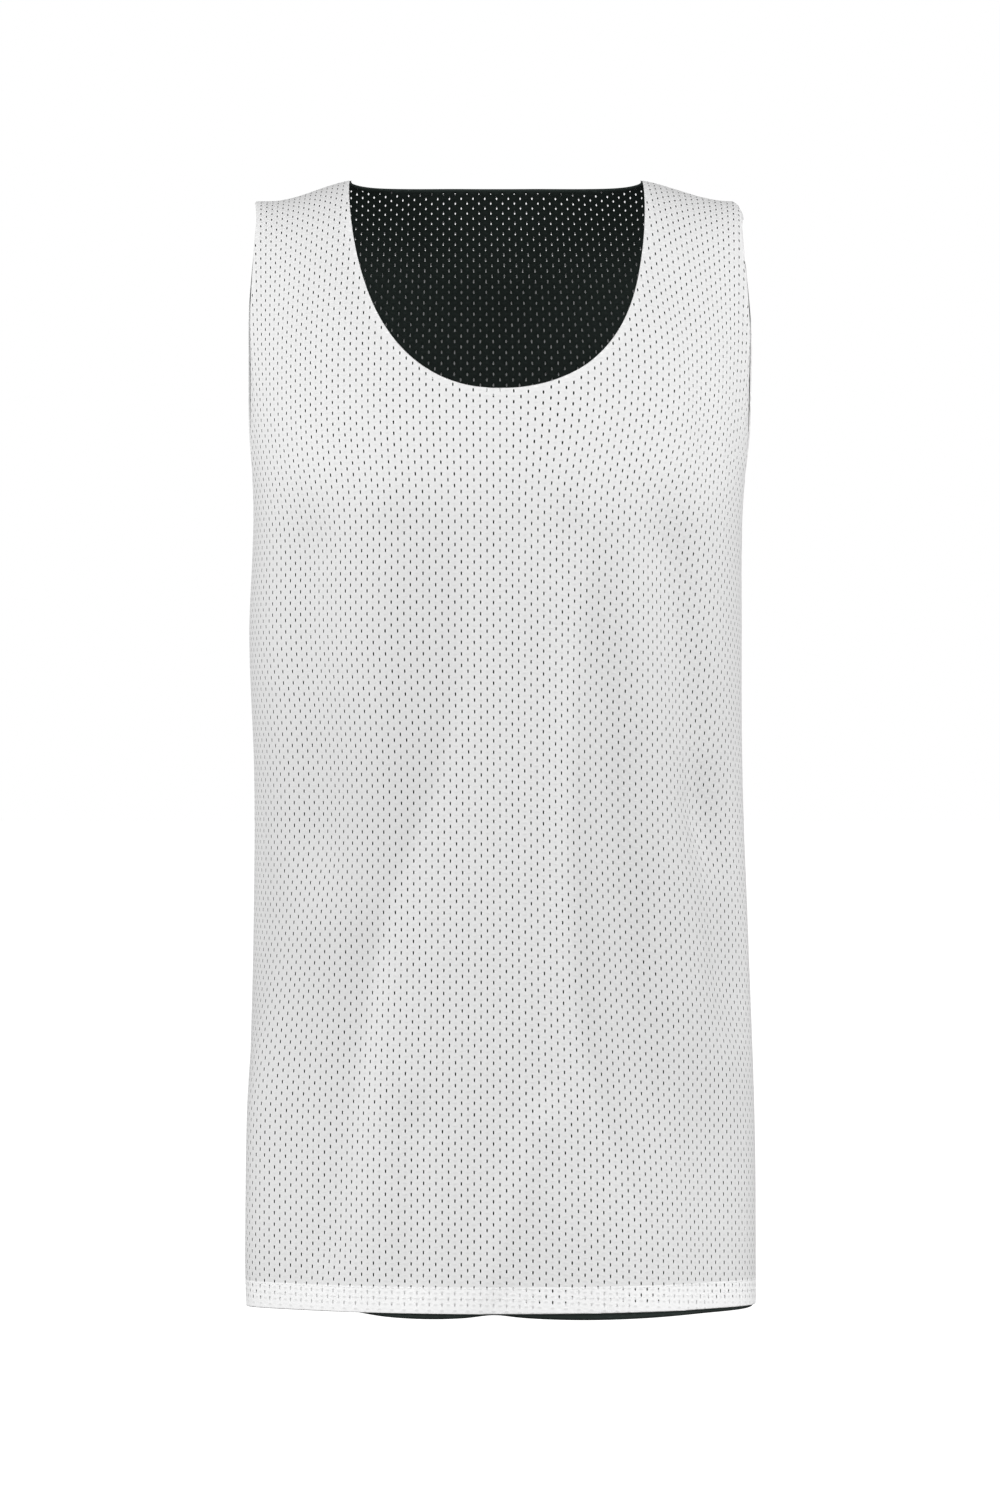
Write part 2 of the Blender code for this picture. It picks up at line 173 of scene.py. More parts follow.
# Triangles of a brick with a hole: corners 0 to 5, then the octagon's corners 6 to 13.
RING = ((5, 0, 6), (5, 6, 13), (0, 7, 6), (0, 1, 7), (1, 8, 7), (1, 2, 8), (2, 9, 8),
        (2, 10, 9), (2, 3, 10), (3, 11, 10), (3, 4, 11), (4, 12, 11), (4, 5, 12), (5, 13, 12))
WHOLE = ((1, 2, 3), (1, 3, 4), (1, 4, 5), (1, 5, 0))


def droop(u, panel):
    """How far the rows hang at u: a hyperbola, level on the left and sloping on the right."""
    return panel["off_grain"] * (u + np.sqrt(u * u + DROOP_WIDTH ** 2) - DROOP_WIDTH) / 2


def to_cut(across, up, panel, rows):
    """From the knit's own counts, in half cells and rows, to a place in the cut."""
    u = across * HOLE_ACROSS
    return np.stack((u, rows[0] + up * rows[1] - droop(u, panel)), -1)


def to_knit(points, panel, rows):
    """From a place in the cut to the knit's own counts."""
    u, v = points.T
    return np.stack((u / HOLE_ACROSS, (v + droop(u, panel) - rows[0]) / rows[1]), -1)


def knit_sheet(panel, rows, lines):
    """Points and triangles of a rectangle of knit with its holes, larger than the cut.

    rows holds the height of the knit's row 0 and the distance from one row to the next. A
    cell stands where its two counts add up to an even number.
    """
    columns = int((HALF_WIDTH + MARGIN) / HOLE_ACROSS)
    lowest = int((-MARGIN - rows[0]) / rows[1])
    highest = int((panel["shoulder_v"] + 2 * MARGIN - rows[0]) / rows[1])
    across, up = np.meshgrid(np.arange(-columns, columns + 1), np.arange(lowest, highest + 1))
    corner_of = np.arange(across.size).reshape(across.shape)
    corners = to_cut(across, up + 0.5, panel, rows).reshape(-1, 2)
    is_site = (across + up) % 2 == 0
    is_site[0, :] = is_site[:, 0] = is_site[:, -1] = False
    row, column = np.nonzero(is_site)
    middle = to_cut(across[row, column], up[row, column], panel, rows)
    brick = np.stack([corner_of[row + down, column + right] for right, down in BRICK], -1)

    angle = (np.arange(8) + 0.5) * math.pi / 4
    ring = np.stack((HOLE_HALF_WIDTH * np.cos(angle), HOLE_HALF_HEIGHT * np.sin(angle)), -1)
    holed = np.all([np.abs(beside_border(name, line, middle)[0]) > NO_HOLE[name]
                    for name, line in lines.items()], axis=0)
    holes = (middle[holed][:, None, :] + ring / math.cos(angle[0])).reshape(-1, 2)
    first = len(corners) + 8 * np.arange(holed.sum())
    cell = np.hstack((brick[holed], first[:, None] + np.arange(8)))
    faces = np.vstack((cell[:, RING].reshape(-1, 3), brick[~holed][:, WHOLE].reshape(-1, 3)))
    return np.vstack((corners, holes)), faces


def cut_along(points, faces, values, value):
    """Parts triangles where value, a function of the points, is zero, and keeps both sides.

    values are the points' own. Each edge that crosses zero gets a point there, found by
    halving it 20 times. A triangle is parted into a triangle and two that fill the rest.
    """
    inside = values > 0
    count = inside[faces].sum(1)
    mixed = (count == 1) | (count == 2)
    parted = faces[mixed]
    lone = inside[parted] == (count[mixed] == 1)[:, None]
    turn = lone.argmax(1)[:, None]
    a, b, c = np.take_along_axis(parted, (turn + np.arange(3)) % 3, 1).T
    edges = np.sort(np.vstack((np.stack((a, b), -1), np.stack((a, c), -1))), 1)
    edges, place = np.unique(edges, axis=0, return_inverse=True)
    if not len(edges):
        return points, faces
    place = place.reshape(-1) + len(points)
    p, q = place[:len(a)], place[len(a):]
    low, high = points[edges[:, 0]].copy(), points[edges[:, 1]].copy()
    low_inside = inside[edges[:, 0]]
    for _ in range(20):
        middle = (low + high) / 2
        same = ((value(middle) > 0) == low_inside)[:, None]
        low, high = np.where(same, middle, low), np.where(same, high, middle)
    new = np.vstack((np.stack((a, p, q), -1), np.stack((p, b, c), -1), np.stack((p, c, q), -1)))
    return np.vstack((points, (low + high) / 2)), np.vstack((faces[~mixed], new))


# ---------------------------------------------------------------------------------------
# The worn form. Level sections run round a general body by length, chest and back lean in
# towards the shoulder line, and long soft folds hang from the chest. The sizes are those of
# the jersey's walls.
# ---------------------------------------------------------------------------------------
TANGENT_STEP = 0.0005       # distance in the cut over which the form's tangents are taken
CURVE_POINTS = 721          # points on a section's quarter and on a lean's profile
HEM_Z = -0.688              # hem below the shoulder line
SIDE_Y = -0.045             # the side seams lie this far in front of the shoulder line
NECK_POINT = (0.0915, 0.0125)   # x and z of the neck end of the shoulder seam
SHOULDER_POINT = (0.1535, -0.0012)  # x and z of its outer end
SHOULDER_CURVE = (-0.15, 0.85)  # shares of the seam between which it slopes down
RIGHT_ROLL = 0.0114         # the right strap's outer corner rolls down by this
ROLL_WIDTH = 0.009          # over this width
NECK_SHIFT = -0.0025        # the top of the neck sits this far to one side
NECK_SHIFT_V = (0.570, 0.730)   # the shift grows between these heights
NECK_REACH = 0.160          # the neck's shift and pull die out at this u
CENTRE_U = 0.020            # a back neck's rise is whole within this u
LEAN_ACROSS = 0.15          # share of the lean after which the widths go over too
SEAM_CALM = 0.031           # folds die out over this distance from a side seam

# Level sections: height up the cut, half width on the left and on the right, depth from
# the side line to the front and to the back, and how square the front and the back are,
# from 0, an ellipse, to 1.
SECTIONS = (
    (0.000, 0.1552, 0.1588, 0.123, 0.118, 0.40, 0.40),
    (0.104, 0.1558, 0.1582, 0.119, 0.116, 0.25, 0.25),
    (0.228, 0.1530, 0.1540, 0.118, 0.114, 0.05, 0.15),
    (0.327, 0.1525, 0.1505, 0.118, 0.114, 0.10, 0.20),
    (0.414, 0.1555, 0.1500, 0.118, 0.118, 0.35, 0.40),
    (0.488, 0.1535, 0.1510, 0.118, 0.123, 0.60, 0.75),
    (0.540, 0.1580, 0.1570, 0.118, 0.127, 0.60, 1.00),
    (0.600, 0.1600, 0.1600, 0.118, 0.128, 0.60, 1.00),
)
LEFT, RIGHT, FRONT_DEPTH, BACK_DEPTH, FRONT_SQUARE, BACK_SQUARE = 1, 2, 3, 4, 5, 6
ROUND_POWER = 2.0
FRONT_SQUARE_POWER = 2.7
BACK_SQUARE_POWER = 3.4
WIDTH_TO_DEPTH = 1.3        # of a section, for shares of its length

# How the cloth leans in towards the shoulder line: height up the cut, degrees from upright.
CHEST_LEAN = (
    (0.480, 0), (0.505, 10), (0.525, 17), (0.545, 21), (0.580, 25), (0.620, 28),
    (0.650, 31), (0.675, 37), (0.700, 52), (0.720, 68), (FRONT_CUT["shoulder_v"], 90),
)
BACK_LEAN = (
    (0.480, 0), (0.540, 3), (0.600, 9), (0.640, 18), (0.670, 30), (0.695, 48),
    (BACK_CUT["shoulder_v"], 90),
)

# Folds: u and v of the top end, u and v of the bottom end, half width, height (out of the
# face, or a trough where it is negative), and the length over which each end fades.
FRONT_FOLDS = (
    (-0.126, 0.470, -0.126, 0.280, 0.024, -0.0070, 0.050),
    (-0.165, 0.150, -0.170, 0.000, 0.030, 0.0090, 0.100),
    (0.110, 0.470, 0.150, 0.300, 0.022, -0.0080, 0.050),
    (0.150, 0.300, 0.165, 0.190, 0.022, -0.0060, 0.050),
    (0.066, 0.390, 0.090, 0.130, 0.018, -0.0035, 0.060),
    (0.135, 0.120, 0.140, 0.000, 0.030, -0.0060, 0.080),
    (-0.070, 0.560, -0.066, 0.495, 0.012, 0.0020, 0.025),
    (0.046, 0.560, 0.046, 0.495, 0.012, 0.0020, 0.025),
    (0.104, 0.640, 0.135, 0.520, 0.012, -0.0025, 0.030),
    (-0.086, 0.220, -0.108, 0.040, 0.014, -0.0025, 0.030),
    (0.026, 0.120, -0.006, 0.020, 0.012, 0.0022, 0.025),
    (-0.053, 0.120, -0.056, 0.020, 0.012, -0.0020, 0.025),
    (-0.073, 0.440, -0.073, 0.060, 0.016, 0.0014, 0.050),
    (0.029, 0.440, 0.029, 0.060, 0.016, 0.0014, 0.050),
)
BACK_FOLDS = (
    (-0.120, 0.520, -0.132, 0.300, 0.024, -0.0070, 0.060),
    (-0.148, 0.260, -0.150, 0.000, 0.030, 0.0070, 0.090),
    (0.118, 0.540, 0.128, 0.250, 0.024, -0.0080, 0.060),
    (0.160, 0.200, 0.155, 0.000, 0.030, 0.0080, 0.090),
    (-0.052, 0.440, -0.068, 0.080, 0.022, 0.0040, 0.060),
    (0.055, 0.360, 0.040, 0.040, 0.020, -0.0040, 0.060),
    (0.008, 0.300, -0.012, 0.000, 0.022, 0.0035, 0.060),
    (-0.095, 0.640, -0.060, 0.560, 0.016, -0.0025, 0.030),
    (0.095, 0.630, 0.070, 0.550, 0.016, -0.0025, 0.030),
)
# The front neck is pulled to the right: height up the cut, distance at its left and right.
NECK_PULL = (
    (0.500, 0.0, 0.0), (0.560, -0.0010, 0.0054), (0.590, -0.0018, 0.0062),
    (0.650, -0.0015, 0.0037), (0.730, 0.0, 0.0),
)
PULL_LEFT, PULL_RIGHT = 1, 2
PULL_U = (0.0, 0.050)       # the pull grows between these distances from the centre line

# The panels: which way they face, their columns of SECTIONS, how far the shoulder line is
# set to the front at the centre, its rise there and what it adds to the cut's height, the
# share of the neck's pull, and how far the rows of holes droop.
FRONT = {
    **FRONT_CUT, "side": -1, "folds": FRONT_FOLDS, "lean": CHEST_LEAN,
    "depth": FRONT_DEPTH, "square": FRONT_SQUARE, "square_power": FRONT_SQUARE_POWER,
    "centre_set": -0.054, "centre_rise": 0.0, "centre_reach": 0.0, "pull": 1.0,
    "off_grain": OFF_GRAIN,
}
BACK = {
    **BACK_CUT, "side": 1, "folds": BACK_FOLDS, "lean": BACK_LEAN,
    "depth": BACK_DEPTH, "square": BACK_SQUARE, "square_power": BACK_SQUARE_POWER,
    "centre_set": -0.038, "centre_rise": 0.013, "centre_reach": 0.016, "pull": 0.0,
    "off_grain": 0.0,
}


def smooth_step(x, low, high):
    """0 below low and 1 above high, with a smooth S between them."""
    t = np.clip((x - low) / (high - low), 0.0, 1.0)
    return t * t * (3.0 - 2.0 * t)


def read_table(x, rows, column):
    """A column of a table at x, on a smooth curve through its rows."""
    at = np.array([row[0] for row in rows])
    value = np.array([row[column] for row in rows])
    slope = np.gradient(value, at)
    x = np.clip(x, at[0], at[-1])
    i = np.clip(np.searchsorted(at, x) - 1, 0, len(at) - 2)
    step = at[i + 1] - at[i]
    t = (x - at[i]) / step
    rise = t * t * (3.0 - 2.0 * t)
    return (value[i] * (1.0 - rise) + value[i + 1] * rise
            + step * t * (1.0 - t) * (slope[i] * (1.0 - t) - slope[i + 1] * t))


def quarter_section(power):
    """A quarter of a superellipse: share of its length, and its x and y, each from 0 to 1."""
    angle = np.linspace(0.0, math.pi / 2, CURVE_POINTS)
    x = np.sin(angle) ** (2.0 / power)
    y = np.cos(angle) ** (2.0 / power)
    steps = np.hypot(np.diff(x) * WIDTH_TO_DEPTH, np.diff(y))
    length = np.concatenate(([0.0], np.cumsum(steps)))
    return length / length[-1], x, y


def lean_profile(rows):
    """Heights up the cut, with the share of the way in and of the way up reached at each."""
    v = np.linspace(rows[0][0], rows[-1][0], CURVE_POINTS)
    lean = np.radians(np.interp(v, [row[0] for row in rows], [row[1] for row in rows]))
    inward = np.cumsum(np.sin(lean))
    upward = np.cumsum(np.cos(lean))
    return v, (inward - inward[0]) / np.ptp(inward), (upward - upward[0]) / np.ptp(upward)


def along_shoulder(u):
    """Share of the way along the shoulder seam, from its neck end to its outer end."""
    return np.clip((np.abs(u) - NECK_HALF_WIDTH) / STRAP_WIDTH, 0.0, RUN_ON)


def towards_centre(u):
    """0 on the shoulder seam, rising to 1 near the centre line."""
    return 1.0 - smooth_step(np.abs(u), CENTRE_U, NECK_HALF_WIDTH)


def shoulder_v(panel, u):
    """Height up the cut of the shoulder seam, and of the line that carries it on inwards."""
    return (panel["shoulder_v"] - SHOULDER_DROP * along_shoulder(u)
            + panel["centre_reach"] * towards_centre(u))


def neck_shift(panel, u, v):
    """How far the cloth round the neck is moved to the right."""
    near_neck = 1.0 - smooth_step(np.abs(u), NECK_HALF_WIDTH, NECK_REACH)
    pull = panel["pull"] * (read_table(v, NECK_PULL, PULL_LEFT) * smooth_step(-u, *PULL_U)
                            + read_table(v, NECK_PULL, PULL_RIGHT) * smooth_step(u, *PULL_U))
    return near_neck * (pull + NECK_SHIFT * smooth_step(v, *NECK_SHIFT_V))


def smooth_form(panel, u, v):
    """The garment's outer face without its folds.

    A point's share of the half width, measured along the section, gives its x and y on a
    mix of an ellipse and a squarer superellipse. Above the chest, x, y and z go over to the
    shoulder line by the shares that the lean profile gives.
    """
    side = panel["side"]
    across = np.abs(u)
    half = np.where(u < 0, read_table(v, SECTIONS, LEFT), read_table(v, SECTIONS, RIGHT))
    depth = read_table(v, SECTIONS, panel["depth"])
    square = read_table(v, SECTIONS, panel["square"])
    share = across / HALF_WIDTH
    x = 0.0
    y = 0.0
    for weight, power in ((1.0 - square, ROUND_POWER), (square, panel["square_power"])):
        shares, section_x, section_y = quarter_section(power)
        x = x + half * weight * np.interp(share, shares, section_x)
        y = y + depth * weight * np.interp(share, shares, section_y)
    past_side = np.maximum(across - HALF_WIDTH, 0.0)
    y = SIDE_Y + side * (y - past_side)

    start = panel["lean"][0][0]
    top = shoulder_v(panel, u)
    heights, inward, upward = lean_profile(panel["lean"])
    reached = np.clip((v - start) / (top - start), 0.0, 1.0)
    on_profile = start + reached * (heights[-1] - start)
    inwards = towards_centre(u)
    shoulder_y = panel["centre_set"] * inwards
    along = along_shoulder(u)
    shoulder_z = (NECK_POINT[1] + panel["centre_rise"] * inwards
                  + (SHOULDER_POINT[1] - NECK_POINT[1]) * smooth_step(along, *SHOULDER_CURVE))
    rolled = np.clip((u - NECK_HALF_WIDTH - STRAP_WIDTH) / ROLL_WIDTH + 1.0, 0.0, RUN_ON)
    shoulder_z = shoulder_z - RIGHT_ROLL * rolled ** 2
    shoulder_x = across * NECK_POINT[0] / NECK_HALF_WIDTH
    shoulder_x = np.where(across < NECK_HALF_WIDTH, shoulder_x,
                          NECK_POINT[0] + along * (SHOULDER_POINT[0] - NECK_POINT[0]))

    past_top = np.maximum(v - top, 0.0)
    y = y + (shoulder_y - y) * np.interp(on_profile, heights, inward)
    y = y - side * past_top
    z = HEM_Z + np.minimum(v, start)
    z = z + (shoulder_z - z) * np.interp(on_profile, heights, upward)
    x = x + (shoulder_x - x) * smooth_step(reached, LEAN_ACROSS, 1.0)
    x = np.sign(u) * x + neck_shift(panel, u, v)
    return np.stack(np.broadcast_arrays(x, y, z), axis=-1)


def fold_height(panel, u, v):
    """Sum of the folds: each is a bell across its line, faded in and out along it."""
    height = np.zeros(np.broadcast(u, v).shape)
    for top_u, top_v, bottom_u, bottom_v, width, rise, fade in panel["folds"]:
        line_u = bottom_u + (top_u - bottom_u) * (v - bottom_v) / (top_v - bottom_v)
        shown = (smooth_step(v, bottom_v - fade, bottom_v + fade / 3)
                 * (1.0 - smooth_step(v, top_v - fade / 3, top_v + fade)))
        height = height + rise * shown * np.exp(-((u - line_u) / width) ** 2)
    near_side_seam = smooth_step(np.abs(u), HALF_WIDTH - SEAM_CALM, HALF_WIDTH)
    return height * (1.0 - near_side_seam)


def on_garment(panel, u, v, depth):
    """The point (u, v) of the cut on the garment, at a depth under its outer face.

    The face's normal is the cross product of its two tangents, from central differences.
    """
    step = TANGENT_STEP
    along_u = smooth_form(panel, u + step, v) - smooth_form(panel, u - step, v)
    along_v = smooth_form(panel, u, v + step) - smooth_form(panel, u, v - step)
    normal = np.cross(along_v, along_u) * panel["side"]
    normal /= np.linalg.norm(normal, axis=-1, keepdims=True)
    out = fold_height(panel, u, v) - depth
    return smooth_form(panel, u, v) + normal * out[..., None]


# ---------------------------------------------------------------------------------------
# The plies. Each is a white or a dark front or back. Its hem is turned up to its wrong
# side. At the neck and the armholes the white and the dark ply are sewn face to face and
# turned, so both allowances lie hidden between them. Side and shoulder seams are plain.
# ---------------------------------------------------------------------------------------
ALLOWANCE = {"hem": 0.016, "side": 0.008, "armhole": 0.004, "shoulder": 0.008, "neck": 0.005}
BEND = 0.0014               # a fold bends the cloth over this distance from its line
CREASES = (0.0, 0.4, 1.0)   # the shares of BEND at which the cloth is creased
# Depth at which the plies meet: the seam is rolled out at the neck and in at the armholes.
BAGGED_DEPTH = {"neck": 0.0004, "armhole": 0.0013}
HEM_EXTRA = 0.0006          # the dark ply hangs this much deeper beside the white hem
# Each ply's depths: its face, its turned allowances, its fold lines at the hem and at the
# plain seams.
WHITE_PLY = {"face": 0.0002, "turned": 0.0006, "hem": 0.0004, "seam": 0.0004, "extra": 0.0}
DARK_PLY = {"face": 0.0016, "turned": 0.0012, "hem": 0.0014, "seam": 0.0014,
            "extra": HEM_EXTRA}
# Rows of holes: the height of row 0, and the distance to the next. The dark front's holes
# lie between the white ones, and the dark back's knit, which is a little tighter, drifts
# past the white one's.
FIRST_ROW = 0.0462
WHITE_ROWS = (FIRST_ROW, HOLE_UP)
DARK_FRONT_ROWS = (FIRST_ROW + HOLE_UP, HOLE_UP)
DARK_BACK_ROWS = (FIRST_ROW + 0.81 * HOLE_UP, 0.988 * HOLE_UP)
ON_LINE = 1e-7              # a point this close to a border is on it
SLIVER = 1e-12              # a triangle of half this area is left out
TUCK = 0.00012              # seam allowances lie this much closer to the face than the hem
FAR = 9.0                   # a cover value well outside every allowance
SHADE_EDGE = 0.007        # half the width over which the painted flank shade fades in
SHADE_END = (0.165, 0.208)    # and fades out again between these distances from the centre
SHORT_HEM = 0.0015          # the dark back's hem is this much higher than the white one's


def level_hem(u):
    """The white plies' hem drops by nothing."""
    return 0.0 * u


def short_hem(u):
    """The dark back's hem is drawn up evenly."""
    return 0.0 * u - SHORT_HEM


# How far the dark ply's front hem hangs below the white one: u, drop.
HEM_PEEK = (
    (-0.221, -0.0015), (-0.100, -0.0015), (-0.072, 0.0022), (-0.020, 0.0024),
    (-0.004, 0.0006), (0.012, 0.0022), (0.140, 0.0026), (0.190, 0.0016), (0.221, 0.0006),
)


def peeking_hem(u):
    """The dark front's hem drops by the table."""
    return read_table(u, HEM_PEEK, 1)


# Painted shade on the white ply's flanks, where the body turns from the light: height up
# the cut, the u from which it starts on the left and on the right, and how strong it is,
# from 0 to 1, on the left and the right.
FLANK_SHADE = (
    (0.060, -0.095, 0.088, 0.2, 0.2), (0.130, -0.090, 0.060, 0.5, 0.7),
    (0.180, -0.085, 0.048, 0.9, 0.9), (0.240, -0.073, 0.045, 1.0, 1.0),
    (0.330, -0.038, 0.046, 0.9, 1.0), (0.380, -0.026, 0.048, 0.6, 0.8),
    (0.450, -0.024, 0.055, 0.4, 0.5), (0.510, -0.034, 0.064, 0.0, 0.0),
)
SHADE_LEFT_U, SHADE_RIGHT_U, SHADE_LEFT, SHADE_RIGHT = 1, 2, 3, 4


def painted_flank_shade(u, v):
    """Share of painted shade where the body turns from the light: on each flank an S from 0 to
    1 across the table's u.
    """
    left = -u + read_table(v, FLANK_SHADE, SHADE_LEFT_U)
    right = u - read_table(v, FLANK_SHADE, SHADE_RIGHT_U)
    close = (read_table(v, FLANK_SHADE, SHADE_LEFT) * smooth_step(left, -SHADE_EDGE, SHADE_EDGE)
             + read_table(v, FLANK_SHADE, SHADE_RIGHT)
             * smooth_step(right, -SHADE_EDGE, SHADE_EDGE))
    return close * (1.0 - smooth_step(np.abs(u), *SHADE_END))


def fold_depth(ply, border):
    """Depth of a ply's fold line at one of its borders."""
    if border in BAGGED_DEPTH:
        return BAGGED_DEPTH[border]
    return ply["hem"] if border == "hem" else ply["seam"]


def ply_mesh(panel, ply, drop, rows):
    """A ply, cut, punched and folded: its points, faces, knit counts and cover values.

    The flat knit is parted along each border, along the bend on both sides of it, and along
    the allowance's raw edge. What lies past one border is mirrored on it and moved to the
    allowance's depth, or behind the face where another border bends that back. A point's
    cover holds its distance from the hem, and that from the nearest other border, in widths
    of the allowance: below 1 the cloth is double. Its last value is the share of painted shade
    on the white ply's flanks, where the body turns from the light.
    """
    lines = borders(panel, drop)
    points, faces = knit_sheet(panel, rows, lines)
    for name, line in lines.items():
        distance = beside_border(name, line, points)[0]
        for level in (-ALLOWANCE[name], -BEND, *(share * BEND for share in CREASES)):
            points, faces = cut_along(points, faces, distance - level,
                                      lambda p: beside_border(name, line, p)[0] - level)
            added = beside_border(name, line, points[len(distance):])[0]
            distance = np.concatenate((distance, added))
    found = {name: beside_border(name, line, points) for name, line in lines.items()}
    middle = points[faces].mean(1)
    spots = {name: beside_border(name, line, middle)[0] for name, line in lines.items()}
    past = sum((distance < 0).astype(int) for distance in spots.values())
    kept = (past == 0) | ((past == 1) & np.all(
        [distance > -ALLOWANCE[name] for name, distance in spots.items()], axis=0))
    first, second, third = points[faces].transpose(1, 2, 0)
    x, y = second - first
    other_x, other_y = third - first
    faces = faces[kept & (np.abs(x * other_y - y * other_x) > SLIVER)]

    knit = to_knit(points, panel, rows)
    place = points.copy()
    depth = np.full(len(points), ply["face"])
    outwards = np.sign(ply["turned"] - ply["face"])
    cover = np.full((len(points), 3), FAR)
    for name, (distance, _) in found.items():
        bend = 1.0 - np.clip(distance / BEND, 0.0, 1.0)
        dip = (fold_depth(ply, name) - ply["face"]) * bend ** 2
        depth = np.where(outwards * (ply["face"] + dip) > outwards * depth,
                         ply["face"] + dip, depth)
        kind = 0 if name == "hem" else 1
        cover[:, kind] = np.minimum(cover[:, kind], np.abs(distance) / ALLOWANCE[name])
    for name, (distance, foot) in found.items():
        turned = distance < -ON_LINE
        bend = (1.0 - np.clip(-distance / BEND, 0.0, 1.0)) ** 2
        level = ply["turned"] - (0.0 if name == "hem" else outwards * TUCK)
        level = level + (fold_depth(ply, name) - level) * bend
        behind = depth + outwards * TUCK * (1.0 - bend)
        place[turned] = (2.0 * foot - points)[turned]
        depth[turned] = np.where(outwards * behind > outwards * level, behind, level)[turned]
    beside_hem = 1.0 - smooth_step(place[:, 1], ALLOWANCE["hem"], 2 * ALLOWANCE["hem"])
    depth = depth + ply["extra"] * beside_hem
    # The last cover value is painted shade on the flanks, where the body turns from the light.
    cover[:, 2] = painted_flank_shade(*place.T)

    used, faces = np.unique(faces, return_inverse=True)
    solid = on_garment(panel, place[used, 0], place[used, 1], depth[used])
    return solid, faces.reshape(-1, 3), knit[used], cover[used]


def add_mesh(name, points, faces):
    """A mesh object from arrays of points and of faces with one count of corners."""
    mesh = bpy.data.meshes.new(name)
    sides = faces.shape[1]
    mesh.vertices.add(len(points))
    mesh.vertices.foreach_set("co", points.astype(np.float32).ravel())
    mesh.loops.add(faces.size)
    mesh.loops.foreach_set("vertex_index", faces.astype(np.int32).ravel())
    mesh.polygons.add(len(faces))
    mesh.polygons.foreach_set("loop_start", np.arange(0, faces.size, sides, dtype=np.int32))
    mesh.update(calc_edges=True)
    mesh.shade_smooth()
    piece = bpy.data.objects.new(name, mesh)
    bpy.context.scene.collection.objects.link(piece)
    return piece


def add_ply(name, panel, ply, drop, rows, material, node):
    """A ply as one open sheet, with its knit counts as UV and its cover as an attribute."""
    points, faces, knit, cover = ply_mesh(panel, ply, drop, rows)
    if panel["side"] > 0:
        faces = faces[:, ::-1]
    if ply is DARK_PLY:
        faces = faces[:, ::-1]
    piece = add_mesh(name, points, faces)
    uv = piece.data.uv_layers.new(name="knit")
    uv.data.foreach_set("uv", knit[faces.ravel()].astype(np.float32).ravel())
    turned = piece.data.attributes.new("cover", "FLOAT_VECTOR", "POINT")
    turned.data.foreach_set("vector", cover.astype(np.float32).ravel())
    piece.data.materials.append(material)
    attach(piece, "root")
    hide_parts(node)
    return piece


def linear(colour):
    """An sRGB hex value as linear red, green, blue and alpha."""
    levels = [int(colour[i:i + 2], 16) / 255 for i in (1, 3, 5)]
    return [c / 12.92 if c <= 0.04045 else ((c + 0.055) / 1.055) ** 2.4 for c in levels] + [1.0]


def add_node(tree, kind, settings=None, links=None):
    """A node with its settings and its inputs, each a value or another node's socket."""
    node = tree.nodes.new(kind)
    for key, value in (settings or {}).items():
        setattr(node, key, value)
    for key, value in (links or {}).items():
        if isinstance(value, bpy.types.NodeSocket):
            tree.links.new(value, node.inputs[key])
        else:
            node.inputs[key].default_value = value
    return node


# Where the lattice's wave counts as beside a hole, which carries a painted highlight on the
# white knit, and as the bar between two holes.
BESIDE_HOLE = {"From Min": 0.35, "From Max": 0.85}
BETWEEN_HOLES = {"From Min": -0.35, "From Max": -0.85, "To Max": 0.6}
# Where the cover counts as doubled cloth, and how much of it shows in the seams.
IN_HEM = {"From Min": 1.02, "From Max": 0.97}
IN_SEAM = {"From Min": 1.02, "From Max": 0.92, "To Max": 0.15}
CLOUD_SIZE = 0.0625         # uneven dyeing comes in patches of this size
CLOUD_SHADE = {"To Min": 0.985, "To Max": 1.015}
PUCKER_SIZE = 1 / 70        # and slight puckers in patches of this one
# Heights of the dimple round a hole and of the hem's step, where a pucker's is up to 1, and
# what 1 stands for.
DIMPLE = -0.6
HEM_STEP = 1.5
RELIEF = 0.00015
